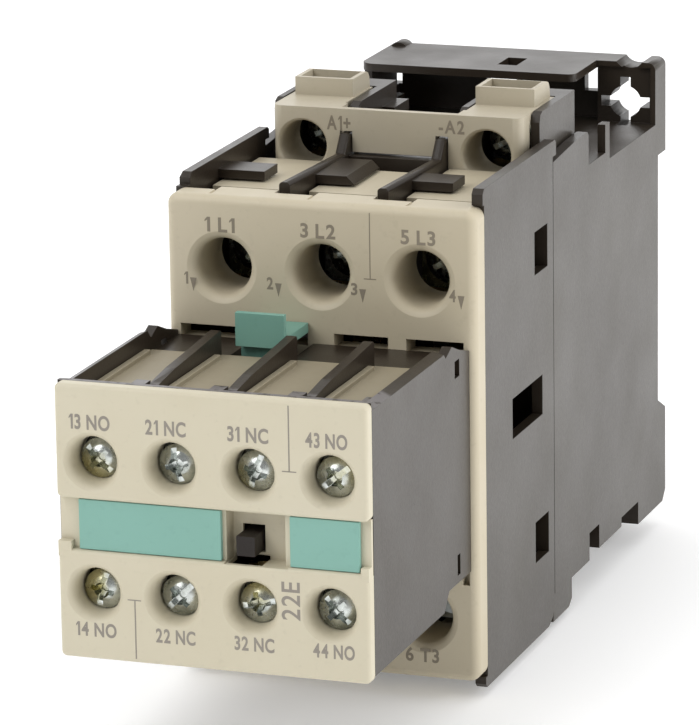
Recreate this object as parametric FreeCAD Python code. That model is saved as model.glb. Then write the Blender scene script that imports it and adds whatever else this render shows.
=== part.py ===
"""Three-pole contactor for a 35 mm DIN rail, with a clip-on four-pole auxiliary contact block.

Millimetres. +X is right and -Y is the front, as the operator sees it, and +Z is up.
The origin is the centre line of the DIN rail, in the plane of the mounting face.
"""
import FreeCAD, Part
import os

# Driving dimensions
WIDTH = 45.0
HALF = WIDTH / 2
DEPTH = 94.0              # mounting face to the front cover's face
COVER_THICK = 4.0
PARTING_Y = -58.2         # joint between the rear and the front housing
REAR_FACE = PARTING_Y + 0.15
WALL = 1.6
POLE_PITCH = 14.4
SIDE_TOP = 32.0
LEFT_TOP = 31.4
SIDE_BOTTOM = -39.2
COVER_TOP = 29.6
COVER_BOTTOM = -37.5
SHELF_Z = 28.3            # underside of the black shelves, above the cream ones
LINE_Z = 19.5             # height of the line side screws
LOAD_Z = -28.6            # height of the load side screws
SCREW_HOLE_R = 4.0
HOLE_END = -83.3          # the screw holes run back from the cover as tubes
RAIL_HALF = 17.5          # half the height of a 35 mm rail
RAIL_DEPTH = 4.1
LUG_X = 17.5              # screw fixing, 35 mm by 60 mm on the diagonal
LUG_TOP_Z = 26.65
LUG_BOTTOM_Z = LUG_TOP_Z - 60.0
LUG_R = 2.45
MAGNET_Z = -4.5           # height of the magnet's and the contact carrier's axis
STROKE = 5.0
CONTACT_GAP = STROKE + 0.3
COIL_X = 13.85            # coil terminals, either side of the centre
COIL_FRONT = -62.0
COIL_TOP = 35.8
COIL_Z = 30.2
COIL_HOLE_R = 3.45
FUNNELS = (-13.3, 14.1)   # the wire funnels stand a little to the right of their screws
FUNNEL_HALF = 4.4
AUX_X = -0.5              # middle of the auxiliary block
AUX_HALF = 22.0
AUX_FRONT = -136.7
AUX_TOP = 12.9            # the outer walls' top; the partitions between the channels are cut lower in front
AUX_BOTTOM = -23.8
AUX_PITCH = 11.05
AUX_COVER = 2.0           # thickness of the auxiliary front cover
AUX_BOSS = 5.4            # depth of its screw pockets
CHANNEL_FRONT = AUX_FRONT + 10.4
CHANNEL_FLOOR = 9.95
AUX_LINE_Z = 2.9
AUX_LOAD_Z = -15.2
POCKET_R = 3.1
AUX_SCREW_DROP = 0.3      # the screws sit a little below the middle of their pockets
LABEL_LEFT = (-19.35, 0.9)
LABEL_RIGHT = (10.35, 20.15)
BAND_TOP = -2.35
BAND_BOTTOM = -9.4
WINDOW_Y = AUX_FRONT + 4.0
PLUNGER = (2.9, 5.5, -8.45, -5.75)     # the plunger's section: X from and to, Z from and to
LATCH_X = AUX_X - 5.0

# Places that follow from them
FRONT_Y = -DEPTH
COVER_BACK = FRONT_Y + COVER_THICK
POLES = [-POLE_PITCH, 0.0, POLE_PITCH]
BARRIERS = [-POLE_PITCH / 2, POLE_PITCH / 2]
AUX_POLES = [AUX_X + AUX_PITCH * (i - 1.5) for i in range(4)]
AUX_WALLS = [AUX_X + AUX_PITCH * (i - 1) for i in range(3)]
BRIDGE_Y = -71.0          # rear face of the moving bridges
TIP = 1.0
FIXED_Y = BRIDGE_Y + TIP + CONTACT_GAP      # front face of the fixed contact tips
YOKE_FACE = -46.0
ARMATURE_Y = YOKE_FACE - STROKE - 0.3       # rear face of the armature
AUX_CORE_Z = -6.2         # height of the auxiliary plunger's axis


def box(x0, x1, y0, y1, z0, z1):
    corner = FreeCAD.Vector(min(x0, x1), min(y0, y1), min(z0, z1))
    return Part.makeBox(abs(x1 - x0), abs(y1 - y0), abs(z1 - z0), corner)


def block(x, half_x, y0, y1, z, half_z):
    """A box centred on (x, z)."""
    return box(x - half_x, x + half_x, y0, y1, z - half_z, z + half_z)


def rod(radius, x, z, y0, y1):
    """A cylinder along Y."""
    return Part.makeCylinder(radius, y1 - y0, FreeCAD.Vector(x, y0, z), FreeCAD.Vector(0, 1, 0))


def cone(r0, r1, x, z, y0, y1):
    return Part.makeCone(r0, r1, y1 - y0, FreeCAD.Vector(x, y0, z), FreeCAD.Vector(0, 1, 0))


def prism(points, direction, place):
    corners = [place(*p) for p in points]
    wire = Part.makePolygon(corners + corners[:1])
    return Part.Face(wire).extrude(direction)


def side_prism(points, x0, x1):
    """A (Y, Z) outline given thickness from x0 to x1."""
    return prism(points, FreeCAD.Vector(x1 - x0, 0, 0), lambda y, z: FreeCAD.Vector(x0, y, z))


def front_prism(points, y0, y1):
    """An (X, Z) outline given thickness from y0 to y1."""
    return prism(points, FreeCAD.Vector(0, y1 - y0, 0), lambda x, z: FreeCAD.Vector(x, y0, z))


def fuse(shapes):
    first = shapes[0]
    if len(shapes) > 1:
        first = first.fuse(shapes[1:])
    return first.removeSplitter()


def cut(shape, tools):
    return shape.cut(tools).removeSplitter()


def rounded_plate(x0, x1, y0, y1, z0, z1, edge, corner):
    """A plate with rounded corners, whose front edges, at y0, are rounded too."""
    plate = box(x0, x1, y0, y1, z0, z1)
    along_y = [e for e in plate.Edges if e.BoundBox.YLength > (y1 - y0) / 2]
    plate = plate.makeFillet(corner, along_y)
    front = [e for e in plate.Edges if abs(e.BoundBox.YMin - y0) < 1e-6 and abs(e.BoundBox.YMax - y0) < 1e-6]
    return plate.makeFillet(edge, front)


def save(node, shapes):
    solids = []
    for shape in shapes:
        solids.extend(shape.Solids)
    for solid in solids:
        if not solid.isValid():
            raise ValueError("bad solid in " + node)
    result = solids[0] if len(solids) == 1 else Part.makeCompound(solids)
    result.exportStep("parts/" + node + ".step")


# Rear housing

REAR_PROFILE = [
    (REAR_FACE, -35.1), (-40.7, -35.1), (-40.7, -30.9), (-35.7, -30.9), (-35.7, -34.6), (-15.0, -34.6),
    (-15.0, -36.8), (-1.6, -36.8), (0.0, -35.2), (0.0, -22.0), (-RAIL_DEPTH, -20.0), (-RAIL_DEPTH, 18.5),
    (0.0, 18.5), (0.0, 23.5), (REAR_FACE, 23.5),
]
CHEEK_PROFILE = [
    (REAR_FACE, 23.4), (-32.1, 23.4), (-32.1, 24.8), (-40.6, 24.8), (-40.6, 29.2), (-41.2, 29.8),
    (-47.6, 29.7), (REAR_FACE, 28.9),
]
BAR_Z0 = 31.8
BAR_Z1 = 33.0
BAR_LEFT = -20.8
BAR_RIGHT = 13.2
BAR_FRONT = -17.0


def screw_lug_hole(x, z, y0, y1):
    """A round hole with four keyhole slots."""
    arm = 3.8
    return fuse([
        rod(LUG_R, x, z, y0, y1),
        block(x, 0.8, y0, y1, z, arm),
        block(x, arm, y0, y1, z, 0.8),
    ])


def top_bar():
    """The bar across the top at the rear, with the wall under it and the frame round the upper screw lug."""
    bar = box(BAR_LEFT, BAR_RIGHT, BAR_FRONT, 0.0, BAR_Z0, BAR_Z1)
    for side, radius in ((BAR_LEFT, 2.2), (BAR_RIGHT, 1.2)):
        corner = [e for e in bar.Edges if e.BoundBox.XLength < 0.1 and e.BoundBox.YLength < 0.1
                  and abs(e.BoundBox.Center.x - side) < 0.1 and abs(e.BoundBox.Center.y - BAR_FRONT) < 0.1]
        bar = bar.makeFillet(radius, corner)
    bead = Part.makeCylinder(1.5, 3.0, FreeCAD.Vector(BAR_LEFT + 1.5, -3.0, BAR_Z1 - 0.9), FreeCAD.Vector(0, 1, 0))
    wall = box(BAR_LEFT, HALF, -2.0, 0.0, 23.4, BAR_Z0 + 0.1)
    left = box(BAR_LEFT, BAR_LEFT + 1.2, BAR_FRONT + 2.3, 0.0, 23.4, BAR_Z0 + 0.1)
    step = box(-18.7, -16.4, -13.7, -8.8, 23.4, 27.0)
    plate = box(13.1, HALF, -4.6, 0.0, 22.0, BAR_Z1)
    lip = box(12.5, HALF, -5.6, 0.0, 32.2, BAR_Z1)
    side_lip = box(HALF - 0.8, HALF, -5.6, 0.0, 23.4, BAR_Z1)
    round_off = box(HALF - 1.2, HALF + 1, -7.0, 1.0, BAR_Z1 - 1.2, BAR_Z1 + 1)
    whole = fuse([bar, bead, wall, left, step, plate, lip, side_lip])
    return cut(whole, [
        box(-0.3, 2.7, -12.5, -7.0, BAR_Z0 - 1, BAR_Z1 + 1),
        box(-5.4, -0.6, -3.0, 1.0, 26.6, 31.2),
        box(BAR_LEFT - 0.1, BAR_LEFT + 1.7, -3.0, 1.0, 27.0, 28.7),
        box(10.3, 13.1, -3.0, 1.0, 27.5, BAR_Z0 + 0.1),
        rod(2.45, LUG_X + 0.85, 34.4, -7.0, 1.0),
        round_off.cut(rod(1.2, HALF - 1.2, BAR_Z1 - 1.2, -8.0, 2.0)),
    ])


def coil_terminal_box():
    """The black box that holds the coil terminals, open in the middle."""
    top = COIL_TOP + 0.1
    walls = []
    for x0, x1 in ((-19.5, -18.6), (-8.0, -6.7), (8.5, 9.5), (19.2, 20.5)):
        profile = [(-58.0, 23.4), (-58.0, top - 1.4), (-57.6, top - 0.4), (-56.6, top), (-41.0, top), (-41.0, 23.4)]
        walls.append(side_prism(profile, x0, x1))
    for x0, x1 in ((-19.5, -6.7), (8.5, 20.5)):
        walls.append(box(x0, x1, -42.6, -41.0, 23.4, top))
        walls.append(box(x0, x1, -46.0, -41.0, top - 1.6, top))
    walls.append(box(-6.8, -4.8, -47.5, -41.0, 31.6, 33.2))
    return fuse(walls)


def rear_housing():
    body = side_prism(REAR_PROFILE, -HALF, HALF)
    cheeks = [side_prism(CHEEK_PROFILE, HALF - WALL, HALF), side_prism(CHEEK_PROFILE, -HALF, -HALF + WALL)]
    fingers = [
        box(HALF - 1.2, HALF, -32.1, -29.9, 23.4, 29.0),
        box(-HALF, -HALF + 1.2, -32.1, -29.9, 23.4, 29.0),
    ]
    lower_lug = box(-HALF, -12.0, -4.0, 0.0, LUG_BOTTOM_Z - 6.5, -22.5)
    ledge = box(-6.6, -2.0, -30.0, -24.0, 23.4, 27.0)
    whole = fuse([body, top_bar(), coil_terminal_box(), lower_lug, ledge] + cheeks + fingers)
    notch_depth = 2.0
    return cut(whole, [
        box(-19.5, 19.5, PARTING_Y - 1, -9.0, -30.4, 21.2),
        box(12.5, 18.5, -26.0, -18.0, -36.0, -31.5),
        box(-HALF - 1, -12.4, -40.0, -4.0, -37.5, -27.8),
        box(HALF - notch_depth, HALF + 1, -24.0, -15.0, -36.0, -33.2),
        screw_lug_hole(LUG_X, LUG_TOP_Z, -7.0, 1.0),
        screw_lug_hole(-LUG_X, LUG_BOTTOM_Z, -7.0, 1.0),
        box(-7.4, 7.4, -RAIL_DEPTH - 0.1, 1.0, -38.0, -19.5),
    ])


def rail_hooks():
    """Fixed hooks over the rail's upper edge."""
    hooks = []
    for x in (-14.0, 0.0, 14.0):
        hooks.append(block(x, 4.0, -2.6, 0.0, RAIL_HALF, 1.0))
    return hooks


def rail_clip():
    plate = box(-7.0, 7.0, -3.8, -0.6, -40.0, -20.0)
    nose = box(-7.0, 7.0, -2.6, -0.6, -20.1, -RAIL_HALF + 0.9)
    slot = box(-2.2, 2.2, -4.5, 0.5, -38.6, -36.9)
    window = box(-2.6, 2.6, -4.5, -2.0, -34.0, -22.0)
    return cut(fuse([plate, nose]), [slot, window])


# Front housing

def side_wall(x0, x1, top, nose):
    """A side wall; above the cover its front end is at nose."""
    profile = [
        (-90.8, SIDE_BOTTOM + 0.6), (-90.2, SIDE_BOTTOM), (-61.0, SIDE_BOTTOM), (-59.0, -38.2),
        (PARTING_Y, -36.6), (PARTING_Y, 29.7), (-56.6, 29.7), (-56.6, top - 0.4), (-57.2, top),
        (nose + 0.7, top), (nose, top - 0.7), (nose, COVER_TOP + 0.1), (-92.8, COVER_TOP + 0.1),
    ]
    wall = side_prism(profile, x0, x1)
    if x0 < 0:
        wall = wall.cut(front_prism([(x0, 30.6), (x0 - 1, 30.6), (x0 - 1, 34), (x0 + 1.0, 34)], -95.0, -55.0))
    windows = []
    for y0, y1, z0, z1 in ((-67.1, -61.0, 14.5, 20.7), (-77.8, -63.7, -6.6, -0.8), (-67.3, -61.0, -27.8, -21.8)):
        windows.append(box(x0 - 1, x1 + 1, y0, y1, z0, z1))
    front = box(x0 - 1, x1 + 1, -95.0, COVER_BACK, COVER_BOTTOM - 0.1, COVER_TOP + 0.1)
    return cut(wall, windows + [front])


def rounded_rib(profile, x, half, radius):
    """An upright rib whose upper edges are rounded."""
    rib = side_prism(profile, x - half, x + half)
    upper = [e for e in rib.Edges if e.BoundBox.XLength < 0.01 and e.BoundBox.ZMin > 29.0]
    return rib.makeFillet(radius, upper)


def front_housing():
    walls = [side_wall(HALF - WALL, HALF, SIDE_TOP, -90.6), side_wall(-HALF, -HALF + WALL, LEFT_TOP, -88.6)]
    inner = HALF - WALL + 0.1
    walls.append(box(-inner, inner, -61.0, PARTING_Y, -35.0, 25.0))
    walls.append(box(-inner, inner, -75.5, -60.9, 24.0, 25.2))
    walls.append(box(-inner, inner, -75.5, -60.9, -34.4, -33.2))
    for z0, z1 in ((11.0, 12.2), (-21.3, -20.1)):
        walls.append(box(-inner, inner, -90.0, -84.6, z0, z1))
    for x in BARRIERS:
        upper = [
            (-87.9, 10.0), (-60.9, 10.0), (-60.9, 32.4), (-62.9, 32.4), (-64.8, 29.9), (-87.9, 30.7),
        ]
        lower = [(-87.9, -19.0), (-60.9, -19.0), (-60.9, -38.2), (-87.9, -38.2)]
        walls.append(rounded_rib(upper, x, 0.8, 0.55))
        walls.append(side_prism(lower, x - 0.8, x + 0.8))
        walls.append(box(x - 0.8, x + 0.8, -69.0, -60.9, -19.1, 10.1))
    for x0, x1 in ((-inner, -13.9), (BARRIERS[1] + 0.7, 14.0)):
        walls.append(box(x0, x1, -77.7, -72.3, SHELF_Z, 29.6))
    middle = [(BARRIERS[0] + 0.7, SHELF_Z), (-0.7, SHELF_Z), (-0.7, 28.5), (-1.8, 29.6), (BARRIERS[0] + 0.7, 29.6)]
    walls.append(front_prism(middle, -77.4, -66.3))
    walls.append(box(-6.5, 6.5, -63.4, -60.9, 24.1, 29.3))
    whole = fuse(walls)
    return cut(whole, [
        box(-6.0, 6.0, -62.0, PARTING_Y + 1, MAGNET_Z - 5.0, MAGNET_Z + 5.0),
        box(-19.5, 19.5, -62.0, -59.8, MAGNET_Z - 12.0, MAGNET_Z + 12.0),
    ])


def cover_holes(x, z):
    """A screw hole with a softly rounded mouth, as the tools that cut it."""
    mouth = ((5.15, 4.65, 0.0, 0.2), (4.65, 4.3, 0.2, 0.55), (4.3, SCREW_HOLE_R, 0.55, 1.2))
    tools = [rod(SCREW_HOLE_R, x, z, FRONT_Y - 1, HOLE_END + 1)]
    for r0, r1, y0, y1 in mouth:
        tools.append(cone(r0, r1, x, z, FRONT_Y + y0, FRONT_Y + y1))
    return tools


def front_cover():
    plate = rounded_plate(-HALF, HALF, FRONT_Y, COVER_BACK, COVER_BOTTOM, COVER_TOP, 1.2, 1.6)
    shapes = [plate]
    for x in POLES:
        shapes.append(box(x - 2.3, x + 6.2, COVER_BACK - 0.1, -87.4, COVER_TOP - 2.2, COVER_TOP - 0.2))
        shelf_back = -66.0 if x == 0 else -62.2
        shapes.append(box(x - 6.0, x + 6.2, -81.2, shelf_back, SHELF_Z - 1.3, SHELF_Z - 0.3))
        shapes.append(box(x + 5.5, x + 6.2, -87.1, -81.1, SHELF_Z - 1.3, SHELF_Z - 0.3))
        shapes.append(block(x, 6.2, COVER_BACK - 0.1, -87.0, COVER_BOTTOM + 1.4, 1.0))
        for z in (LINE_Z, LOAD_Z):
            shapes.append(rod(SCREW_HOLE_R + 0.8, x, z, COVER_BACK - 0.1, HOLE_END))
    tools = []
    for x in POLES:
        tools += cover_holes(x, LINE_Z) + cover_holes(x, LOAD_Z)
        tools.append(box(x - 2.3, x + 6.2, FRONT_Y + 1.4, COVER_BACK + 4, COVER_TOP - 0.2, COVER_TOP + 1))
    for x0, x1 in ((-20.7, -12.4), (-9.8, -1.9), (1.9, 9.8), (12.4, 20.7)):
        tools.append(box(x0, x1, FRONT_Y - 1, COVER_BACK + 1, 9.2, 11.2))
    tools.append(box(20.3, 21.3, FRONT_Y - 1, FRONT_Y + 1.5, -23.4, -17.0))
    tools.append(block(0.0, 5.4, FRONT_Y - 1, COVER_BACK + 1, MAGNET_Z, 4.4))
    return cut(fuse(shapes), tools)


# Coil terminals

def funnel(x, base):
    """A rectangular wire funnel standing on the coil terminal block, rounded at its upper rear edge."""
    top = base + 2.6
    profile = [
        (-54.0, base - 0.2), (-54.0, top), (-48.0, top), (-47.2, top - 0.3), (-46.7, top - 1.0),
        (-46.4, base - 0.2),
    ]
    return side_prism(profile, x - FUNNEL_HALF, x + FUNNEL_HALF)


def coil_terminal_block():
    front = box(-18.4, 19.1, COIL_FRONT, -58.3, 25.6, COIL_TOP)
    corners = [e for e in front.Edges if e.BoundBox.ZLength > 5 and e.BoundBox.YMax < COIL_FRONT + 0.1]
    shapes = [front.makeFillet(1.4, corners)]
    for x0, x1 in ((-18.4, -8.6), (9.7, 19.1)):
        shapes.append(box(x0, x1, -58.4, -46.2, COIL_TOP - 1.6, COIL_TOP))
    tools = [box(-8.2, 9.3, -60.8, -58.0, 24.0, COIL_TOP + 1)]
    for x in FUNNELS:
        shapes.append(funnel(x, COIL_TOP))
        tools.append(box(x - FUNNEL_HALF + 0.65, x + FUNNEL_HALF - 0.65, -53.35, -48.2, 34.0, 40.0))
    for side in (-1, 1):
        x = side * COIL_X
        shapes.append(rod(COIL_HOLE_R + 0.7, x, COIL_Z, -58.4, -53.6))
        tools.append(rod(COIL_HOLE_R, x, COIL_Z, COIL_FRONT - 1, -53.0))
        tools.append(cone(COIL_HOLE_R + 0.45, COIL_HOLE_R + 0.15, x, COIL_Z, COIL_FRONT, COIL_FRONT + 0.3))
        tools.append(cone(COIL_HOLE_R + 0.15, COIL_HOLE_R, x, COIL_Z, COIL_FRONT + 0.3, COIL_FRONT + 0.9))
    for x in BARRIERS:
        tools.append(box(x - 0.95, x + 0.95, COIL_FRONT - 3, -60.6, 24.0, 32.6))
    tools.append(box(BARRIERS[0], BARRIERS[1], COIL_FRONT - 3, -58.0, 24.0, 29.6))
    return cut(fuse(shapes), tools)


def lower_terminal_cover():
    """The cream cover under the load side, the partner of the coil terminal block."""
    plate = box(-18.4, 18.4, -71.0, -66.0, -40.2, -37.6)
    step = box(-18.4, 18.4, -66.1, -62.0, -39.4, -34.5)
    tools = []
    for x in BARRIERS:
        tools.append(box(x - 1.1, x + 1.1, -72.0, -61.5, -38.5, -34.0))
    return cut(fuse([plate, step]), tools)


def lower_cheeks():
    """Black side pieces under the rear housing, behind the load terminals."""
    profile = [(-57.9, -39.6), (-50.0, -39.6), (-48.5, -38.6), (-48.5, -35.2), (-57.9, -35.2)]
    walls = [side_prism(profile, 20.6, 22.2), side_prism(profile, -22.2, -20.6)]
    bridge = box(-22.2, 22.2, -57.9, -50.0, -37.0, -35.2)
    return fuse(walls + [bridge])


def coil_terminal_plates():
    plates = []
    for side in (-1, 1):
        x = side * COIL_X
        bent = fuse([
            box(x - 3.2, x + 3.2, -49.1, -48.1, 25.8, 33.6),
            box(x - 3.2, x + 3.2, -48.2, -44.0, 25.8, 26.8),
        ])
        plates.append(cut(bent, [rod(1.6, x, COIL_Z, -50.0, -47.0)]))
    return plates


# Screws and clamps

def slotted_screw(x, z, head_y, head_r, head_h, shank_r, length):
    """A domed screw along Y with a cross and a slot in its head; head_y is the head's front face."""
    dome = 0.4 * head_r
    ball = (head_r ** 2 + dome ** 2) / (2 * dome)
    head = rod(head_r, x, z, head_y, head_y + head_h)
    head = head.common(Part.makeSphere(ball, FreeCAD.Vector(x, head_y + ball, z)))
    screw = fuse([head, rod(shank_r, x, z, head_y + head_h - 0.1, head_y + head_h + length)])
    arm = head_r * 0.6
    tools = [
        block(x, arm, head_y - 1, head_y + 1.7, z, 0.36),
        block(x, 0.36, head_y - 1, head_y + 1.7, z, arm),
        cone(head_r * 0.42, 0.5, x, z, head_y - 0.1, head_y + 1.9),
        block(x, head_r + 1, head_y - 1, head_y + 0.75, z, 0.42),
    ]
    for tool in tools:
        tool.rotate(FreeCAD.Vector(x, head_y, z), FreeCAD.Vector(0, 1, 0), 28 + 31 * ((x + z) % 5))
    return cut(screw, tools)


def clamp_washer(x, z, y0, half, thick, bore):
    return cut(block(x, half, y0, y0 + thick, z, half), [rod(bore, x, z, y0 - 1, y0 + thick + 1)])


def terminal_screws(z):
    return [slotted_screw(x, z, -81.6, 3.6, 2.6, 1.9, 8.0) for x in POLES]


def terminal_washers(z):
    return [clamp_washer(x, z, -78.9, 4.6, 1.2, 2.1) for x in POLES]


# Main contacts

def fixed_contact(x, side):
    """A bent copper strip from the terminal to the fixed tip; side is 1 for the line and -1 for the load."""
    plate_mid = LINE_Z if side > 0 else LOAD_Z
    near = MAGNET_Z + side * 8.2
    bend = MAGNET_Z + side * 15.3
    end = plate_mid + side * 4.2
    front = -77.6
    t = 1.4
    legs = [
        box(x - 3.2, x + 3.2, FIXED_Y + TIP, FIXED_Y + TIP + t, near, bend + side * t),
        box(x - 3.2, x + 3.2, front, FIXED_Y + TIP + t, bend, bend + side * t),
        box(x - 4.4, x + 4.4, front, front + t, bend, end),
    ]
    return cut(fuse(legs), [rod(2.1, x, plate_mid, front - 1, front + t + 1)])


def fixed_tips():
    tips = []
    for x in POLES:
        for side in (-1, 1):
            tips.append(block(x, 2.4, FIXED_Y, FIXED_Y + TIP, MAGNET_Z + side * 10.4, 1.9))
    return tips


def moving_bridges():
    return [block(x, 3.0, BRIDGE_Y - 1.2, BRIDGE_Y, MAGNET_Z, 12.6) for x in POLES]


def moving_tips():
    tips = []
    for x in POLES:
        for side in (-1, 1):
            tips.append(block(x, 2.4, BRIDGE_Y, BRIDGE_Y + TIP, MAGNET_Z + side * 10.4, 1.9))
    return tips


def coil_spring(radius, wire, x, z, y0, y1, turns):
    """A wire spring along Y."""
    helix = Part.makeHelix((y1 - y0 - wire) / turns, y1 - y0 - wire, radius)
    start = FreeCAD.Vector(radius, 0, 0)
    profile = Part.Wire(Part.makeCircle(wire / 2, start, FreeCAD.Vector(0, 1, 0)))
    spring = Part.Wire(helix).makePipeShell([profile], True, True)
    spring.rotate(FreeCAD.Vector(0, 0, 0), FreeCAD.Vector(1, 0, 0), -90)
    spring.translate(FreeCAD.Vector(x, y0 + wire / 2, z))
    return spring


def bridge_springs():
    return [coil_spring(1.6, 0.6, x, MAGNET_Z, -77.0, BRIDGE_Y - 1.25, 3) for x in POLES]


def contact_carrier():
    """The plate that joins the three bridge holders, and the stem to the armature."""
    plate = block(0.0, 18.6, -84.0, -80.0, MAGNET_Z, 4.0)
    holders = [block(x, 4.6, -80.1, -69.3, MAGNET_Z, 4.0) for x in POLES]
    stem = block(0.0, 4.6, -69.4, ARMATURE_Y - 5.0, MAGNET_Z, 4.0)
    hook = block(0.0, 3.6, -90.6, -83.9, MAGNET_Z, 2.6)
    windows = [block(x, 3.15, -77.0, BRIDGE_Y + 0.1, MAGNET_Z, 9.0) for x in POLES]
    groove = block(0.0, 9.0, -88.6, -87.0, MAGNET_Z, 1.6)
    return cut(fuse([plate, stem, hook] + holders), windows + [groove])


# Magnet

def armature():
    plate = block(0.0, 17.2, ARMATURE_Y - 5.0, ARMATURE_Y, MAGNET_Z, 21.5)
    tools = []
    for sx in (1, -1):
        for sz in (1, -1):
            y0 = ARMATURE_Y - 6.0
            y1 = ARMATURE_Y + 1.0
            tools.append(box(sx * 8.8, sx * 18.0, y0, y1, MAGNET_Z + sz * 6.0, MAGNET_Z + sz * 23.0))
    return cut(plate, tools)


def magnet_yoke():
    back = block(0.0, 8.5, -15.5, -9.2, MAGNET_Z, 21.5)
    legs = []
    for side in (-1, 1):
        legs.append(block(0.0, 8.5, YOKE_FACE, -15.4, MAGNET_Z + side * 18.2, 3.3))
    core = rod(6.0, 0.0, MAGNET_Z, YOKE_FACE, -15.4)
    return fuse([back, core] + legs)


def coil_bobbin():
    tube = rod(7.2, 0.0, MAGNET_Z, -45.6, -16.0)
    flanges = [rod(12.2, 0.0, MAGNET_Z, -45.6, -44.0), rod(12.2, 0.0, MAGNET_Z, -17.6, -16.0)]
    return cut(fuse([tube] + flanges), [rod(6.15, 0.0, MAGNET_Z, -47.0, -15.0)])


def coil_winding():
    return cut(rod(11.8, 0.0, MAGNET_Z, -43.9, -17.7), [rod(7.3, 0.0, MAGNET_Z, -45.0, -16.0)])


def return_springs():
    return [coil_spring(1.6, 0.6, x, MAGNET_Z, ARMATURE_Y + 0.05, -38.0, 6) for x in (-15.2, 15.2)]


def spring_seats():
    return [fuse([rod(2.6, x, MAGNET_Z, -37.9, -9.0), rod(1.1, x, MAGNET_Z, -44.5, -37.8)]) for x in (-15.2, 15.2)]


# Auxiliary contact block

def aux_housing():
    """Black body: five walls that run front to back, and the core that holds the contacts."""
    x0 = AUX_X - AUX_HALF
    x1 = AUX_X + AUX_HALF
    back = AUX_FRONT + AUX_COVER
    wall_profile = [
        (back, AUX_BOTTOM), (-105.8, AUX_BOTTOM), (-103.6, -21.3), (FRONT_Y, -21.3),
        (FRONT_Y, 10.2), (-98.4, 11.4), (-101.6, 12.6), (-104.2, 11.6), (-105.6, AUX_TOP), (back, AUX_TOP),
    ]
    shapes = []
    for outer, inner_face in ((x0, x0 + 1.4), (x1, x1 - 1.4)):
        wall = side_prism(wall_profile, min(outer, inner_face), max(outer, inner_face))
        slope = [(outer, AUX_TOP - 0.6), (outer * 2 - inner_face, AUX_TOP + 1.5), (inner_face, AUX_TOP)]
        shapes.append(wall.cut(front_prism(slope, back - 1, -104.3)))
    partition = [
        (back, AUX_BOTTOM), (-104.0, AUX_BOTTOM), (-104.0, 13.0), (-104.4, 13.3), (-112.6, 12.75), (-121.5, 12.3),
        (-127.5, 11.6), (-128.2, 10.9), (-128.4, 7.5), (back, 7.5),
    ]
    for x in AUX_WALLS:
        shapes.append(side_prism(partition, x - 0.7, x + 0.7))
    shapes.append(box(x0 + 0.1, x1 - 0.1, -104.2, FRONT_Y, -21.3, 9.6))
    shapes.append(box(x0 + 0.1, x1 - 0.1, back, back + 0.9, 10.9, 13.3))
    for x in AUX_WALLS + [x1 - 0.7]:
        shapes.append(box(x - 3.4, x - 0.6, back, back + 2.4, 11.0, 12.5))
        shapes.append(box(x - 2.6, x - 0.6, back + 2.3, back + 7.5, 10.6, 12.0))
    whole = fuse(shapes)
    return cut(whole, [
        box(x0 + 1.5, x1 - 1.5, -103.9, -95.4, -19.5, 7.6),
        box(x0 + 1.5, x1 - 1.5, -112.4, -103.8, AUX_CORE_Z - 5.4, AUX_CORE_Z + 5.4),
        block(0.0, 5.6, -97.0, -93.0, MAGNET_Z, 4.6),
        box(x1 - 1.6, x1 + 1, -100.4, -98.4, 7.8, 10.2),
        box(x1 - 1.6, x1 + 1, -99.9, -98.7, -20.2, -17.3),
        box(x0 - 1, x0 + 1.6, -100.4, -98.4, 7.8, 10.2),
        block(LATCH_X, 4.4, -104.4, -92.0, 9.6, 2.8),
    ])


def aux_channel_frame():
    """Cream frame in the block: floors of the wire channels, each turned down at its front end."""
    faces = [AUX_X - AUX_HALF + 1.45]
    for x in AUX_WALLS:
        faces += [x - 0.75, x + 0.75]
    faces.append(AUX_X + AUX_HALF - 1.45)
    y0 = CHANNEL_FRONT
    top = CHANNEL_FLOOR
    foot = AUX_BOTTOM + 4.0
    frames = []
    for x0, x1 in zip(faces[0::2], faces[1::2]):
        frames.append(fuse([
            box(x0, x1, y0, -104.3, top - 1.2, top),
            box(x0, x1, y0, y0 + 1.0, top - 4.2, top - 1.1),
            box(x0, x0 + 1.0, y0, -107.0, top - 0.1, top + 0.7),
        ]))
        frames.append(fuse([
            box(x0, x1, y0, -104.3, foot, foot + 1.2),
            box(x0, x1, y0, y0 + 1.0, foot + 1.1, foot + 2.4),
        ]))
    return frames


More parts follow.
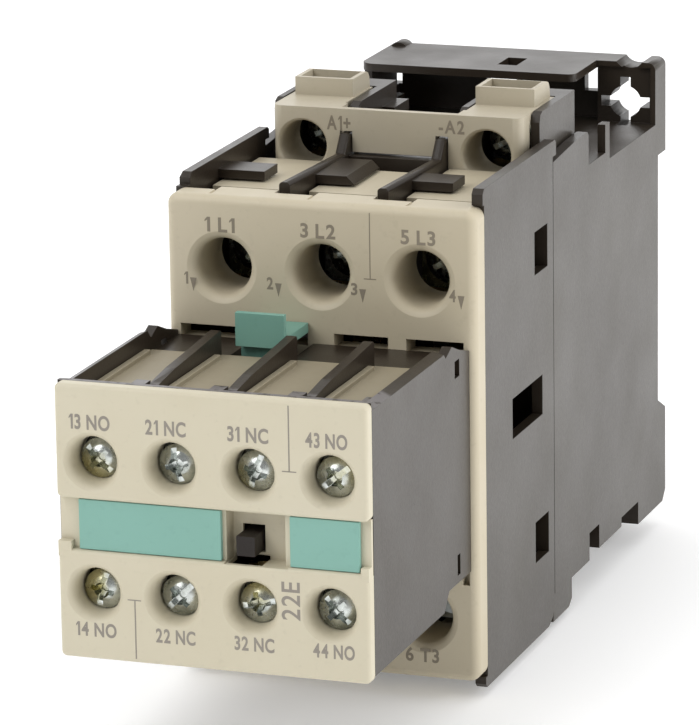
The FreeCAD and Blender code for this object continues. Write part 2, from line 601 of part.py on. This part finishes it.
def aux_front_cover():
    """Cream cover in two halves joined by a recessed band with the label seats and the plunger's window."""
    x0 = AUX_X - AUX_HALF + 0.3
    x1 = AUX_X + AUX_HALF
    back = AUX_FRONT + AUX_COVER - 0.1
    window_x0 = LABEL_LEFT[1] + 0.4
    window_x1 = AUX_WALLS[2] - 1.0      # the window's deep part clears the partition behind it
    shapes = [
        rounded_plate(x0, x1, AUX_FRONT, back, BAND_TOP, 13.3, 0.6, 0.75),
        rounded_plate(x0, x1, AUX_FRONT, back, -24.4, BAND_BOTTOM, 0.6, 0.75),
        box(x0 + 0.05, x0 + 1.9, AUX_FRONT + 0.1, back, BAND_BOTTOM - 1.0, BAND_BOTTOM + 1.1),
        box(LABEL_RIGHT[1] + 0.2, x1 - 0.05, AUX_FRONT + 0.1, back, BAND_BOTTOM - 1.0, BAND_BOTTOM + 0.8),
        box(x0 + 0.05, x1 - 0.05, AUX_FRONT + 1.3, back, BAND_BOTTOM - 0.1, BAND_TOP + 0.1),
        box(window_x0 - 0.2, window_x1 + 0.2, back - 0.1, WINDOW_Y + 0.6, BAND_BOTTOM - 0.8, BAND_TOP + 0.2),
    ]
    tools = []
    for x in AUX_POLES:
        for z in (AUX_LINE_Z, AUX_LOAD_Z):
            shapes.append(rod(POCKET_R + 0.9, x, z, back - 0.1, AUX_FRONT + AUX_BOSS))
            tools.append(rod(POCKET_R, x, z, AUX_FRONT - 1, AUX_FRONT + AUX_BOSS + 1))
            tools.append(cone(POCKET_R + 0.95, POCKET_R + 0.6, x, z, AUX_FRONT, AUX_FRONT + 0.25))
            tools.append(cone(POCKET_R + 0.6, POCKET_R + 0.25, x, z, AUX_FRONT + 0.25, AUX_FRONT + 0.8))
            tools.append(cone(POCKET_R + 0.25, POCKET_R, x, z, AUX_FRONT + 0.8, AUX_FRONT + 1.8))
    through = WINDOW_Y + 2.0
    for x, y in ((window_x1, WINDOW_Y), (LABEL_RIGHT[0] - 0.15, AUX_FRONT + 1.3)):
        tools.append(box(window_x0, x, AUX_FRONT - 1, y, BAND_BOTTOM - 0.2, BAND_TOP - 0.1))
    tools.append(box(PLUNGER[0] - 0.25, PLUNGER[1] + 0.25, AUX_FRONT, through, PLUNGER[2] - 0.25, PLUNGER[3] + 0.8))
    tools.append(box(window_x0 + 0.2, 6.4, AUX_FRONT + 0.8, through, BAND_BOTTOM - 1.0, BAND_BOTTOM + 0.3))
    for lx0, lx1 in (LABEL_LEFT, LABEL_RIGHT):
        tools.append(box(lx0, lx1, AUX_FRONT - 1, AUX_FRONT + 1.3, BAND_BOTTOM, BAND_TOP))
    return cut(fuse(shapes), tools)


def label(x0, x1):
    return box(x0 + 0.08, x1 - 0.08, AUX_FRONT + 0.45, AUX_FRONT + 1.28, BAND_BOTTOM + 0.08, BAND_TOP - 0.08)


def aux_terminal_strip(x, side):
    """Bent brass strip: terminal plate behind the pocket, and a leg back to the fixed tip."""
    z = (AUX_LINE_Z if side > 0 else AUX_LOAD_Z) - AUX_SCREW_DROP
    plate_y = AUX_FRONT + 8.5
    plate = box(x - 3.4, x + 3.4, plate_y, plate_y + 1.0, z - 3.8, z + 3.8)
    mid = z - side * 3.6
    leg = box(x - 2.0, x + 2.0, plate_y, -109.0, mid - 0.5, mid + 0.5)
    return cut(fuse([plate, leg]), [rod(1.6, x, z, plate_y - 1, plate_y + 2)])


def aux_strips(side):
    return [aux_terminal_strip(x, side) for x in AUX_POLES]


def aux_screws(z):
    return [slotted_screw(x, z - AUX_SCREW_DROP, AUX_FRONT + 2.3, 2.75, 2.6, 1.45, 7.0) for x in AUX_POLES]


def aux_washers(z):
    return [clamp_washer(x, z - AUX_SCREW_DROP, AUX_FRONT + 7.4, 3.4, 1.0, 1.6) for x in AUX_POLES]


def aux_carrier():
    """The auxiliary contacts' moving carrier, with the plunger that shows in the window."""
    plunger = box(PLUNGER[0], PLUNGER[1], AUX_FRONT + 0.6, -111.0, PLUNGER[2], PLUNGER[3])
    body = block(AUX_X, 19.0, -111.1, -106.0, AUX_CORE_Z, 1.9)
    stem = block(0.0, 3.4, -106.1, -92.6, MAGNET_Z, 2.4)
    windows = [block(x, 1.9, -110.0, -107.2, AUX_CORE_Z, 5.0) for x in AUX_POLES]
    return cut(fuse([plunger, body, stem]), windows)


def aux_bridges():
    return [block(x, 1.8, -108.2, -107.4, AUX_CORE_Z, 4.6) for x in AUX_POLES]


def release_latch():
    """Slide on top of the block: press it to free the block from the contactor."""
    x = LATCH_X
    grip = box(x - 3.55, x + 3.55, -103.4, -102.4, 11.0, 15.75)
    foot = box(x - 3.55, x + 3.8, -102.5, -94.3, 11.2, 12.6)
    leg = box(x - 3.4, x + 3.4, -101.6, -100.2, 7.8, 11.3)
    return fuse([grip, foot, leg])


def main():
    os.makedirs("parts", exist_ok=True)
    save("rear_housing", [rear_housing()])
    save("rail_hooks", rail_hooks())
    save("rail_clip", [rail_clip()])
    save("front_housing", [front_housing()])
    save("front_cover", [front_cover()])
    save("lower_cheeks", [lower_cheeks()])
    save("coil_terminal_block", [coil_terminal_block()])
    save("lower_terminal_cover", [lower_terminal_cover()])
    save("coil_terminal_plates", coil_terminal_plates())
    save("coil_clamp_washers", [clamp_washer(s * COIL_X, COIL_Z, -50.2, 2.9, 1.0, 1.6) for s in (-1, 1)])
    save("coil_terminal_screws", [slotted_screw(s * COIL_X, COIL_Z, -52.5, 2.9, 2.2, 1.45, 5.0) for s in (-1, 1)])
    save("line_terminal_screws", terminal_screws(LINE_Z))
    save("load_terminal_screws", terminal_screws(LOAD_Z))
    save("line_clamp_washers", terminal_washers(LINE_Z))
    save("load_clamp_washers", terminal_washers(LOAD_Z))
    save("line_contact_strips", [fixed_contact(x, 1) for x in POLES])
    save("load_contact_strips", [fixed_contact(x, -1) for x in POLES])
    save("fixed_contact_tips", fixed_tips())
    save("contact_carrier", [contact_carrier()])
    save("moving_bridges", moving_bridges())
    save("moving_contact_tips", moving_tips())
    save("bridge_springs", bridge_springs())
    save("armature", [armature()])
    save("magnet_yoke", [magnet_yoke()])
    save("coil_bobbin", [coil_bobbin()])
    save("coil_winding", [coil_winding()])
    save("return_springs", return_springs())
    save("spring_seats", spring_seats())
    save("aux_housing", [aux_housing()])
    save("aux_channel_frame", aux_channel_frame())
    save("aux_front_cover", [aux_front_cover()])
    save("aux_label_left", [label(*LABEL_LEFT)])
    save("aux_label_right", [label(*LABEL_RIGHT)])
    save("aux_upper_strips", aux_strips(1))
    save("aux_lower_strips", aux_strips(-1))
    save("aux_upper_screws", aux_screws(AUX_LINE_Z))
    save("aux_lower_screws", aux_screws(AUX_LOAD_Z))
    save("aux_upper_washers", aux_washers(AUX_LINE_Z))
    save("aux_lower_washers", aux_washers(AUX_LOAD_Z))
    save("aux_carrier", [aux_carrier()])
    save("aux_bridges", aux_bridges())
    save("release_latch", [release_latch()])


main()
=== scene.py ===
"""Looks of the din rail contactor: materials, rounded edges, print, studio and camera, on the CAD frame."""
import math

import bmesh
import bpy
from mathutils import Matrix, Vector


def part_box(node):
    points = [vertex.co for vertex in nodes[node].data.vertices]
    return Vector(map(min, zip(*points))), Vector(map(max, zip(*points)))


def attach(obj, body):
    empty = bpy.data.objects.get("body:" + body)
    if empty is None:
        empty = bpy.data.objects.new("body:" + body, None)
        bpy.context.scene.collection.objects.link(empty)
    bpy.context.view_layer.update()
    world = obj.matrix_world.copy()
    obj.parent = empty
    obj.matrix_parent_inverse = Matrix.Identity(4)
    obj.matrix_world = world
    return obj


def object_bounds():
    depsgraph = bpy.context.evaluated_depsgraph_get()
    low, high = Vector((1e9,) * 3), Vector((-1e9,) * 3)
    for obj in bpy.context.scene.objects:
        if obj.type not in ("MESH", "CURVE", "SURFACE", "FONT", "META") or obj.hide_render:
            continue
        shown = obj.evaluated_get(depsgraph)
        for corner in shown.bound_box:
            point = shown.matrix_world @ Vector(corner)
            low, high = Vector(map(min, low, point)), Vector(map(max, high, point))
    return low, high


MM = 0.001                  # metres in a millimetre
PLASTIC_GRAIN = 2600.0      # features per metre of the moulded grain
EDGE_SEGMENTS = 2
EDGE_ANGLE = math.radians(28)
FLAT_ANGLE = math.radians(0.4)
PRINT_LIFT = 0.012          # the print stands this far in front of its face, in millimetres
PRINT_BOLD = 0.03           # how far a character's outline is grown, in the text's own units
PRINT_THIN = 0.012
WORD_GAP = 0.30
LETTER_GAP = 0.10
FLAG = (0.13, 0.15, 0.24)   # the flag of the figure 1: its width, and how far its tip's two corners hang
AUX_SCUFF = (-126.5, 10.5)  # the scraped patch of the auxiliary block: in front of this y, above this z

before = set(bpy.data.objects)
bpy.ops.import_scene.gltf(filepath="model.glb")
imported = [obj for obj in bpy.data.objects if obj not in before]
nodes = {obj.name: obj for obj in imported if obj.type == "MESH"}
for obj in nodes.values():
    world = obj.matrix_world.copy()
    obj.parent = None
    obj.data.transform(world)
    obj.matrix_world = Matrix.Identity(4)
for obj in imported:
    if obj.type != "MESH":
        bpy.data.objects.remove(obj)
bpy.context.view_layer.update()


# ---------------------------------------------------------------- shader nodes

class Shader:
    """A material's node tree, with short calls for the nodes that the finishes are made of."""

    def __init__(self, name):
        self.material = bpy.data.materials.new(name)
        self.material.use_nodes = True
        self.tree = self.material.node_tree
        self.bsdf = self.tree.nodes["Principled BSDF"]
        self.place = self.tree.nodes.new("ShaderNodeTexCoord").outputs["Object"]

    def add(self, kind, **settings):
        node = self.tree.nodes.new(kind)
        for key, value in settings.items():
            setattr(node, key, value)
        return node

    def link(self, a, b):
        self.tree.links.new(a, b)

    def feed(self, socket, value):
        if isinstance(value, bpy.types.NodeSocket):
            self.link(value, socket)
        else:
            socket.default_value = value

    def stretched(self, scale):
        node = self.add("ShaderNodeMapping")
        node.inputs["Scale"].default_value = scale
        self.link(self.place, node.inputs["Vector"])
        return node.outputs["Vector"]

    def noise(self, scale, detail=3.0, rough=0.5, stretch=None):
        """Noise from 0 to 1; scale is in features per metre."""
        node = self.add("ShaderNodeTexNoise")
        node.inputs["Scale"].default_value = scale
        node.inputs["Detail"].default_value = detail
        node.inputs["Roughness"].default_value = rough
        self.link(self.stretched(stretch) if stretch else self.place, node.inputs["Vector"])
        return node.outputs["Fac"]

    def ramp(self, value, low, high, out_low=0.0, out_high=1.0):
        node = self.add("ShaderNodeMapRange")
        node.inputs["From Min"].default_value = low
        node.inputs["From Max"].default_value = high
        node.inputs["To Min"].default_value = out_low
        node.inputs["To Max"].default_value = out_high
        self.link(value, node.inputs["Value"])
        return node.outputs["Result"]

    def math(self, operation, a, b):
        node = self.add("ShaderNodeMath", operation=operation)
        self.feed(node.inputs[0], a)
        self.feed(node.inputs[1], b)
        return node.outputs[0]

    def mix(self, factor, a, b):
        node = self.add("ShaderNodeMix", data_type="RGBA")
        self.feed(node.inputs["Factor"], factor)
        for socket, value in ((node.inputs[6], a), (node.inputs[7], b)):
            self.feed(socket, value if isinstance(value, bpy.types.NodeSocket) else (*value, 1.0))
        return node.outputs[2]

    def split(self, vector):
        """The X, Y and Z outputs of a vector."""
        node = self.add("ShaderNodeSeparateXYZ")
        self.link(vector, node.inputs[0])
        return node.outputs[0], node.outputs[1], node.outputs[2]

    def normal(self):
        """The X, Y and Z outputs of the surface normal."""
        return self.split(self.add("ShaderNodeNewGeometry").outputs["Normal"])

    def outer_side(self, near, far):
        """From 0 to 1 on faces that look away from the middle plane, near to far millimetres out from it."""
        outward = self.math("MULTIPLY", self.normal()[0], self.split(self.place)[0])
        return self.ramp(outward, near * MM, far * MM)

    def bump(self, height, distance, strength=1.0, below=None):
        node = self.add("ShaderNodeBump")
        node.inputs["Strength"].default_value = strength
        node.inputs["Distance"].default_value = distance
        self.link(height, node.inputs["Height"])
        if below is not None:
            self.link(below, node.inputs["Normal"])
        return node.outputs["Normal"]

    def finish(self, colour, roughness, normal=None, metallic=0.0, specular=0.5):
        self.feed(self.bsdf.inputs["Base Color"], colour)
        self.feed(self.bsdf.inputs["Roughness"], roughness)
        self.bsdf.inputs["Metallic"].default_value = metallic
        self.bsdf.inputs["Specular IOR Level"].default_value = specular
        if normal is not None:
            self.link(normal, self.bsdf.inputs["Normal"])
        return self.material


# ---------------------------------------------------------------- materials

def moulded(name, clean, stained, rough):
    """Moulded plastic: fine spark-eroded grain, slow stains and small specks."""
    s = Shader(name)
    stain = s.ramp(s.noise(38.0, 5.0, 0.6), 0.35, 0.75)
    speck = s.ramp(s.noise(900.0, 2.0), 0.60, 0.75)
    colour = s.mix(stain, clean, stained)
    colour = s.mix(s.math("MULTIPLY", speck, 0.12), colour, tuple(c * 0.6 for c in stained))
    roughness = s.ramp(s.noise(120.0, 4.0), 0.3, 0.7, rough - 0.06, rough + 0.08)
    normal = s.bump(s.noise(PLASTIC_GRAIN, 3.0), 0.02 * MM, 0.5)
    normal = s.bump(s.noise(60.0, 1.0), 0.12 * MM, 0.3, normal)
    return s.finish(colour, roughness, normal, specular=0.4)


def dark_plastic(name, base, worn_and_sheen, rough=0.32, scuffed=None):
    """Dark moulded plastic: grain, with pale rub marks and fine scratches on its outer side walls. That pale
    colour is also a painted sheen that lightens the outer side walls, while faces further in keep the dark
    base as painted shade.

    scuffed is (y, z): in front of y and above z, in millimetres, upper faces are scraped to a ragged grey.
    """
    s = Shader(name)
    # Painted sheen and shade: the pale worn colour is mostly kept to the outer side walls, lightening them as
    # reflected light would; faces further in stay darker as painted shade.
    side = s.ramp(s.outer_side(15.5, 17.0), 0.0, 1.0, 0.1, 1.0)
    rub_and_sheen = s.ramp(s.noise(45.0, 6.0, 0.65), 0.42, 0.80, 0.30, 0.75)
    grain = s.ramp(s.noise(1500.0, 3.0, 0.7), 0.35, 0.70, -0.12, 0.16)
    scratch = s.ramp(s.noise(300.0, 2.0, 0.5, (1.0, 1.0, 0.10)), 0.68, 0.74, 0.0, 0.35)
    wear_and_sheen = s.math("ADD", s.math("MAXIMUM", rub_and_sheen, scratch), grain)
    colour = s.mix(s.math("MULTIPLY", wear_and_sheen, side), base, worn_and_sheen)
    if scuffed:
        y, z = s.split(s.place)[1:]
        front = s.ramp(y, scuffed[0] * MM, (scuffed[0] - 1.0) * MM)
        high = s.ramp(z, scuffed[1] * MM, (scuffed[1] + 0.4) * MM)
        upper = s.ramp(s.normal()[2], 0.4, 0.8)
        ragged = s.math("MULTIPLY", upper, s.ramp(s.noise(700.0, 3.0), 0.36, 0.46))
        corner = s.math("MULTIPLY", front, high)
        colour = s.mix(s.math("MULTIPLY", corner, ragged), colour, (0.13, 0.12, 0.12))
    roughness = s.ramp(s.noise(90.0, 5.0), 0.3, 0.7, rough - 0.04, rough + 0.08)
    normal = s.bump(s.noise(3000.0, 3.0), 0.04 * MM, 0.5)
    return s.finish(colour, roughness, normal, specular=0.3)


def metal(name, bright, dull, rough, tint=None):
    """Metal with dull patches; tint is a second plating colour that comes and goes over a few millimetres."""
    s = Shader(name)
    patch = s.ramp(s.noise(420.0, 4.0, 0.6), 0.42, 0.66)
    colour = s.mix(patch, bright, dull)
    if tint:
        colour = s.mix(s.ramp(s.noise(70.0, 1.0), 0.52, 0.60, 0.0, 0.8), colour, tint)
    roughness = s.ramp(s.noise(900.0, 3.0), 0.3, 0.7, rough - 0.08, rough + 0.12)
    normal = s.bump(s.noise(1500.0, 2.0), 0.03 * MM, 0.6)
    return s.finish(colour, roughness, normal, metallic=1.0)


CREAM = moulded("cream_plastic", (0.565, 0.52, 0.40), (0.535, 0.485, 0.36), 0.46)
CREAM_AGED = moulded("cream_aged_plastic", (0.52, 0.462, 0.345), (0.49, 0.43, 0.31), 0.46)
CREAM_WHITE = moulded("cream_pale_plastic", (0.58, 0.54, 0.43), (0.54, 0.50, 0.38), 0.46)
CREAM_COIL = moulded("cream_coil_plastic", (0.45, 0.405, 0.31), (0.42, 0.37, 0.275), 0.46)
# The second colour of each dark plastic is rub wear plus painted sheen on its outer side walls.
BLACK = dark_plastic("black_plastic", (0.023, 0.0165, 0.011), (0.097, 0.090, 0.077))
BLACK_AUX = dark_plastic(
    "black_block_plastic", (0.023, 0.0165, 0.011), (0.080, 0.072, 0.060), scuffed=AUX_SCUFF
)
BLACK_INNER = dark_plastic("inner_black_plastic", (0.014, 0.010, 0.008), (0.04, 0.035, 0.03), 0.5)
# A darker copy of the cream plastic: painted shade for the deep channel frame and the bobbin inside.
CREAM_SHADED_INNER = moulded("cream_shaded_channel_plastic", (0.31, 0.27, 0.19), (0.275, 0.235, 0.16), 0.5)
TEAL = moulded("teal_plastic", (0.20, 0.395, 0.335), (0.19, 0.375, 0.315), 0.42)
TEAL_DEEP = moulded("teal_latch_plastic", (0.18, 0.37, 0.305), (0.165, 0.335, 0.275), 0.42)
ZINC = metal("zinc_steel", (0.60, 0.63, 0.61), (0.30, 0.32, 0.29), 0.22, (0.50, 0.46, 0.24))
BRASS = metal("brass_strip", (0.66, 0.50, 0.25), (0.50, 0.36, 0.17), 0.30)
SILVER = metal("silver_alloy", (0.78, 0.77, 0.74), (0.60, 0.58, 0.54), 0.24)
IRON = metal("core_steel", (0.42, 0.42, 0.43), (0.30, 0.29, 0.28), 0.38)
COPPER = metal("copper_wire", (0.60, 0.26, 0.13), (0.45, 0.18, 0.09), 0.30)
PRINT = moulded("grey_print", (0.20, 0.17, 0.125), (0.24, 0.205, 0.155), 0.55)
PRINT_PALE = moulded("pale_grey_print", (0.235, 0.21, 0.18), (0.27, 0.245, 0.21), 0.55)

FINISH = {
    CREAM: ["aux_front_cover"],
    CREAM_WHITE: ["lower_terminal_cover"],
    CREAM_AGED: ["front_cover"],
    CREAM_COIL: ["coil_terminal_block"],
    CREAM_SHADED_INNER: ["aux_channel_frame", "coil_bobbin"],
    BLACK: ["rear_housing", "front_housing", "lower_cheeks", "rail_clip", "rail_hooks"],
    BLACK_AUX: ["aux_housing"],
    BLACK_INNER: ["contact_carrier", "aux_carrier", "spring_seats"],
    TEAL: ["aux_label_left", "aux_label_right"],
    TEAL_DEEP: ["release_latch"],
    ZINC: [
        "coil_terminal_screws", "line_terminal_screws", "load_terminal_screws", "aux_upper_screws",
        "aux_lower_screws", "coil_clamp_washers", "line_clamp_washers", "load_clamp_washers",
        "aux_upper_washers", "aux_lower_washers", "return_springs", "bridge_springs",
    ],
    BRASS: [
        "coil_terminal_plates", "line_contact_strips", "load_contact_strips", "moving_bridges",
        "aux_upper_strips", "aux_lower_strips", "aux_bridges",
    ],
    SILVER: ["fixed_contact_tips", "moving_contact_tips"],
    IRON: ["armature", "magnet_yoke"],
    COPPER: ["coil_winding"],
}


def paint(node, material):
    """Gives a CAD node one material."""
    mesh = nodes[node].data
    mesh.materials.clear()
    mesh.materials.append(material)


for material, names in FINISH.items():
    for name in names:
        paint(name, material)


# ---------------------------------------------------------------- rounded edges

def soften(node, width):
    """Rounds a CAD node's sharp edges by width, in millimetres."""
    thing = nodes[node]
    weld = thing.modifiers.new("weld", "WELD")
    weld.merge_threshold = 0.002 * MM
    flat = thing.modifiers.new("planar", "DECIMATE")
    flat.decimate_type = "DISSOLVE"
    flat.angle_limit = FLAT_ANGLE
    bevel = thing.modifiers.new("edges", "BEVEL")
    bevel.width = width * MM
    bevel.segments = EDGE_SEGMENTS
    bevel.limit_method = "ANGLE"
    bevel.angle_limit = EDGE_ANGLE
    bevel.harden_normals = True
    bevel.use_clamp_overlap = True


# Millimetres.
EDGE_WIDTH = {
    "front_cover": 0.12, "aux_front_cover": 0.14, "coil_terminal_block": 0.25, "lower_terminal_cover": 0.25,
    "rear_housing": 0.25, "front_housing": 0.22, "aux_housing": 0.18, "lower_cheeks": 0.25,
    "release_latch": 0.3, "aux_channel_frame": 0.15, "aux_label_left": 0.12, "aux_label_right": 0.12,
    "aux_carrier": 0.1,
}

for name, width in EDGE_WIDTH.items():
    soften(name, width)


# ---------------------------------------------------------------- print

def glyph(character, bold):
    """The outline mesh of one character, as (points, faces), in the text's own units."""
    curve = bpy.data.curves.new("word", "FONT")
    curve.body = character
    curve.offset = bold
    curve.resolution_u = 6
    holder = bpy.data.objects.new("word", curve)
    bpy.context.scene.collection.objects.link(holder)
    bpy.context.view_layer.update()
    shape = bpy.data.meshes.new_from_object(holder.evaluated_get(bpy.context.evaluated_depsgraph_get()))
    points = [(v.co.x, v.co.y) for v in shape.vertices]
    faces = [tuple(f.vertices) for f in shape.polygons]
    bpy.data.objects.remove(holder)
    bpy.data.curves.remove(curve)
    bpy.data.meshes.remove(shape)
    left = min(x for x, y in points)
    if character == "1":
        top = max(y for x, y in points)
        start = len(points)
        width, upper_drop, lower_drop = FLAG
        tip = left - width
        points += [(left, top), (tip, top - upper_drop), (tip, top - lower_drop), (left, top - upper_drop)]
        faces.append((start, start + 1, start + 2, start + 3))
        left = tip
    return [(x - left, y) for x, y in points], faces


def lettering(text, x0, x1, z0, z1, y, turned=False, bold=PRINT_BOLD):
    """The mesh of a printed word that fills the box x0 to x1, z0 to z1 on the plane y (millimetres).

    A turned word reads upwards.
    """
    points, faces, pen = [], [], 0.0
    for character in text:
        if character == " ":
            pen += WORD_GAP
            continue
        outline, loops = glyph(character, bold)
        start = len(points)
        points += [(x + pen, y_up) for x, y_up in outline]
        faces += [tuple(start + i for i in loop) for loop in loops]
        pen += max(x for x, y_up in outline) + LETTER_GAP
    if turned:
        points = [(-v, u) for u, v in points]
    low_u, high_u = min(u for u, v in points), max(u for u, v in points)
    low_v, high_v = min(v for u, v in points), max(v for u, v in points)
    wide = (x1 - x0) / (high_u - low_u)
    tall = (z1 - z0) / (high_v - low_v)
    shape = bpy.data.meshes.new("word")
    corners = [Vector((x0 + (u - low_u) * wide, y, z0 + (v - low_v) * tall)) * MM for u, v in points]
    shape.from_pydata(corners, [], faces)
    return shape


def triangle(x0, x1, z0, z1, y):
    """A filled triangle that points down."""
    shape = bpy.data.meshes.new("mark")
    corners = [(x0, y, z1), (x1, y, z1), ((x0 + x1) / 2, y, z0)]
    shape.from_pydata([Vector(c) * MM for c in corners], [], [(0, 2, 1)])
    return shape


def bar(x0, x1, z0, z1, y):
    """A filled upright rectangle."""
    shape = bpy.data.meshes.new("line")
    corners = [(x0, y, z0), (x1, y, z0), (x1, y, z1), (x0, y, z1)]
    shape.from_pydata([Vector(c) * MM for c in corners], [], [(0, 1, 2, 3)])
    return shape


def piece(name, shapes, material, body):
    """Joins meshes into one named piece that rides on a body."""
    joined = bmesh.new()
    for shape in shapes:
        joined.from_mesh(shape)
        bpy.data.meshes.remove(shape)
    mesh = bpy.data.meshes.new(name)
    joined.to_mesh(mesh)
    joined.free()
    mesh.materials.append(material)
    thing = bpy.data.objects.new(name, mesh)
    bpy.context.scene.collection.objects.link(thing)
    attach(thing, body)


COVER_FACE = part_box("front_cover")[0].y / MM - PRINT_LIFT
AUX_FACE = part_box("aux_front_cover")[0].y / MM - PRINT_LIFT
COIL_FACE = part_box("coil_terminal_block")[0].y / MM - PRINT_LIFT


def mark(number, x, top):
    """A small contact number with a slim triangle at its lower right."""
    width = 0.6 if number == "1" else 0.95
    return [
        lettering(number, x, x + width, top - 1.75, top, COVER_FACE),
        triangle(x + width + 0.25, x + width + 1.25, top - 2.75, top - 0.8, COVER_FACE),
    ]


# Words are given as (text, left, right).
LINE_WORDS = (("1 L1", -16.8, -12.35), ("3 L2", -2.75, 2.35), ("5 L3", 11.8, 16.8))
LOAD_WORDS = (("2 T1", -17.0, -12.1), ("4 T2", -2.6, 2.3), ("6 T3", 11.8, 16.7))
cover_words = []
for words, z0, z1 in ((LINE_WORDS, 24.5, 26.6), (LOAD_WORDS, -35.1, -33.05)):
    for word, x0, x1 in words:
        cover_words.append(lettering(word, x0, x1, z0, z1, COVER_FACE))
# The dividing line between the second and the third pole, and its foot.
cover_words += [
    bar(7.25, 7.4, 19.3, 28.6, COVER_FACE),
    bar(6.4, 8.2, 19.2, 19.36, COVER_FACE),
]
for number, x in zip("1234", (-20.0, -7.8, 4.5, 18.7)):
    cover_words += mark(number, x, 18.6)
piece("cover_print", cover_words, PRINT, "base")

# Two dividing lines, each with a bar at its end, and the contact arrangement code.
aux_words = [
    bar(10.62, 10.81, 3.8, 12.7, AUX_FACE),
    bar(9.7, 11.7, 3.7, 3.86, AUX_FACE),
    bar(-11.47, -11.28, -23.8, -15.75, AUX_FACE),
    bar(-12.4, -10.5, -15.75, -15.59, AUX_FACE),
    lettering("22E", 9.3, 11.9, -16.45, -11.2, AUX_FACE, turned=True, bold=PRINT_THIN),
]
UPPER_WORDS = (("13 NO", -20.1, -14.3), ("21 NC", -9.3, -3.6), ("31 NC", 2.2, 7.9), ("43 NO", 13.0, 18.8))
LOWER_WORDS = (("14 NO", -19.9, -14.1), ("22 NC", -8.5, -2.9), ("32 NC", 2.6, 8.2), ("44 NO", 13.6, 19.4))
for words, z0, z1 in ((UPPER_WORDS, 7.25, 9.35), (LOWER_WORDS, -21.25, -19.25)):
    for word, x0, x1 in words:
        aux_words.append(lettering(word, x0, x1, z0, z1, AUX_FACE))
piece("aux_print", aux_words, PRINT_PALE, "base")

coil_words = [
    lettering("A1+", -10.1, -6.5, 32.65, 34.75, COIL_FACE),
    lettering("-A2", 6.75, 10.6, 33.05, 35.0, COIL_FACE),
]
piece("coil_print", coil_words, PRINT, "base")


# ---------------------------------------------------------------- studio

studio_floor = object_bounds()[0].z
OBJECT_MIDDLE = Vector((0.0, -0.06, 0.0))
FLOOR_HALF = 6.0


def sky():
    """White surroundings, dimmer in front of the object than behind it."""
    world = bpy.data.worlds.new("studio")
    world.use_nodes = True
    tree = world.node_tree
    glow = tree.nodes["Background"]
    glow.inputs["Color"].default_value = (1.0, 1.0, 1.0, 1.0)
    direction = tree.nodes.new("ShaderNodeTexCoord")
    parts = tree.nodes.new("ShaderNodeSeparateXYZ")
    fade = tree.nodes.new("ShaderNodeMapRange")
    for socket, value in (("From Min", -0.7), ("From Max", 0.2), ("To Min", 0.35), ("To Max", 0.82)):
        fade.inputs[socket].default_value = value
    tree.links.new(direction.outputs["Generated"], parts.inputs[0])
    tree.links.new(parts.outputs["Y"], fade.inputs["Value"])
    tree.links.new(fade.outputs["Result"], glow.inputs["Strength"])
    bpy.context.scene.world = world


def table_top():
    """A plain white floor just below the object, with a faint glow of its own."""
    corners = [(x * FLOOR_HALF, y * FLOOR_HALF, 0.0) for x, y in ((-1, -1), (1, -1), (1, 1), (-1, 1))]
    mesh = bpy.data.meshes.new("floor")
    mesh.from_pydata(corners, [], [(0, 1, 2, 3)])
    floor = bpy.data.objects.new("floor", mesh)
    floor.location.z = studio_floor - 0.4 * MM
    bpy.context.scene.collection.objects.link(floor)
    white = Shader("floor_paper")
    mesh.materials.append(white.finish((0.92, 0.92, 0.92, 1.0), 0.9, specular=0.1))
    white.bsdf.inputs["Emission Color"].default_value = (1.0, 1.0, 1.0, 1.0)
    white.bsdf.inputs["Emission Strength"].default_value = 0.22


def softbox(name, place, width, height, power):
    """A rectangular lamp that points at the middle of the object."""
    light = bpy.data.lights.new(name, "AREA")
    light.shape = "RECTANGLE"
    light.size = width
    light.size_y = height
    light.energy = power
    thing = bpy.data.objects.new(name, light)
    thing.location = place
    thing.rotation_euler = (OBJECT_MIDDLE - Vector(place)).to_track_quat("-Z", "Y").to_euler()
    bpy.context.scene.collection.objects.link(thing)


def studio():
    """Surroundings, floor and four softboxes."""
    settings = bpy.context.scene.view_settings
    settings.view_transform = "Standard"
    settings.look = "None"
    sky()
    table_top()
    softbox("key", (-0.45, -0.75, 0.70), 0.7, 0.7, 5.5)
    softbox("top", (0.05, 0.0, 0.9), 0.9, 0.9, 1.9)
    softbox("side", (0.9, -0.02, 0.20), 0.7, 0.9, 6.2)
    softbox("back", (-0.35, 0.95, 0.42), 1.0, 0.6, 1.5)


def camera():
    """A long lens in front of the object, to its right and above it."""
    data = bpy.data.cameras.new("camera")
    data.lens = 258.4
    data.sensor_width = 36.0
    data.clip_start = 0.05
    data.clip_end = 50.0
    thing = bpy.data.objects.new("camera", data)
    place = Vector((0.235701, -0.747816, 0.188529))
    yaw, pitch, roll = math.radians(19.503), math.radians(14.646), math.radians(-0.864)
    forward = Vector((-math.sin(yaw) * math.cos(pitch), math.cos(yaw) * math.cos(pitch), -math.sin(pitch)))
    level = Vector((math.cos(yaw), math.sin(yaw), 0.0))
    upright = level.cross(forward)
    right = math.cos(roll) * level + math.sin(roll) * upright
    up = -math.sin(roll) * level + math.cos(roll) * upright
    turn = Matrix((right, up, -forward)).transposed().to_4x4()
    thing.matrix_world = Matrix.Translation(place) @ turn
    bpy.context.scene.collection.objects.link(thing)
    bpy.context.scene.camera = thing


studio()
camera()
